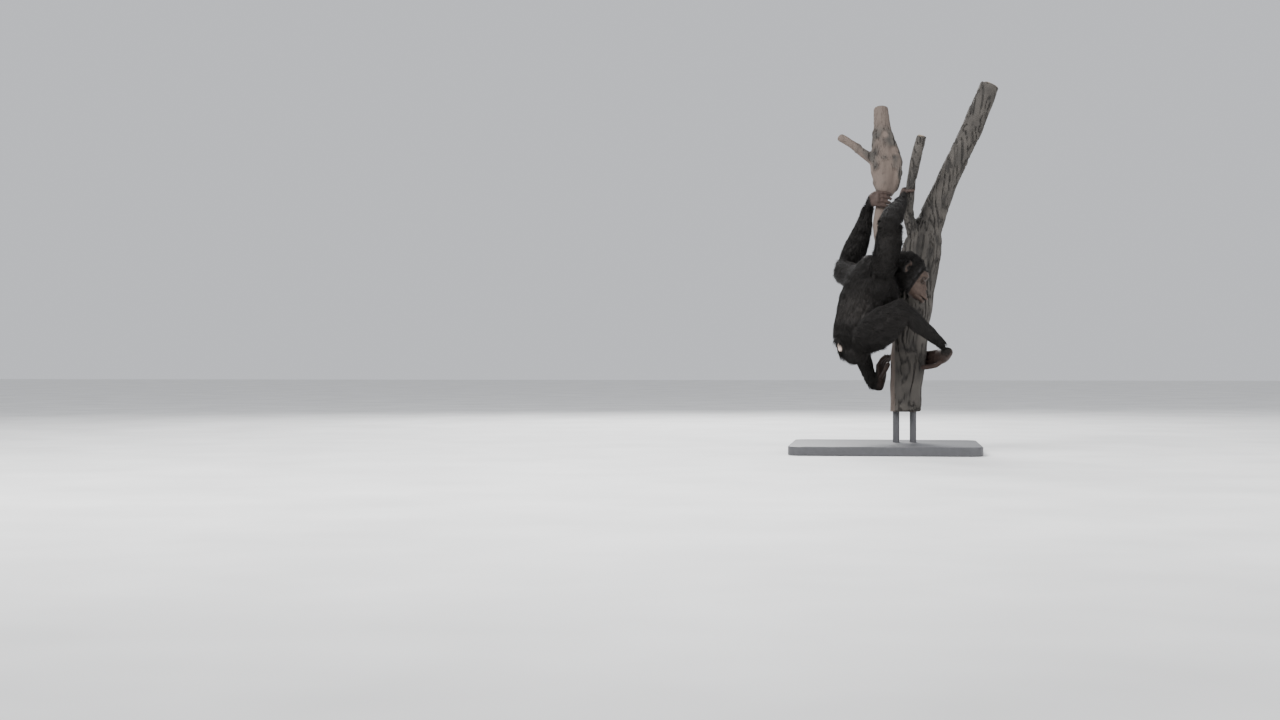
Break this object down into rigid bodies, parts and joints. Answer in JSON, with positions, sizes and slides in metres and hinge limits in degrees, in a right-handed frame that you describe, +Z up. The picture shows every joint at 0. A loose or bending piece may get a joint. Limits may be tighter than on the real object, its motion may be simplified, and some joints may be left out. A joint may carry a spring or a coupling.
{
  "type": "animal model",
  "caption": "Life-size still model of a chimpanzee clinging to a cut, forked dead trunk held on a flat display stand.",
  "frame": {"origin": "centre of the stand base's underside, on the floor", "axes": "+Z up; the animal faces +X and a little +Y; +X is to the right in the picture and +Y away from its camera"},
  "size_m": [0.9307, 0.76, 1.6782],
  "materials": {
    "black_coat": "long coarse near-black coat hair",
    "bare_skin": "dark brown bare skin, finely wrinkled",
    "eye_gloss": "wet dark brown eye",
    "bark_wood": "dry weathered dead wood, partly without bark",
    "stand_metal": "satin dark grey paint"
  },
  "bodies": {
    "root": {"perch_trunk": "bark_wood", "perch_fork_right": "bark_wood", "perch_fork_left": "bark_wood", "perch_stub_middle": "bark_wood", "perch_stub_side": "bark_wood", "head": "black_coat", "neck": "black_coat", "torso": "black_coat", "upper_arm_right": "black_coat", "upper_arm_left": "black_coat", "forearm_right": "black_coat", "forearm_left": "black_coat", "thigh_right": "black_coat", "thigh_left": "black_coat", "shin_right": "black_coat", "shin_left": "black_coat", "ear_right": "bare_skin", "ear_left": "bare_skin", "hand_right": "bare_skin", "hand_left": "bare_skin", "foot_right": "bare_skin", "foot_left": "bare_skin", "eye_right": "eye_gloss", "eye_left": "eye_gloss", "stand_base": "stand_metal", "stand_rod_1": "stand_metal", "stand_rod_2": "stand_metal"}
  },
  "joints": []
}
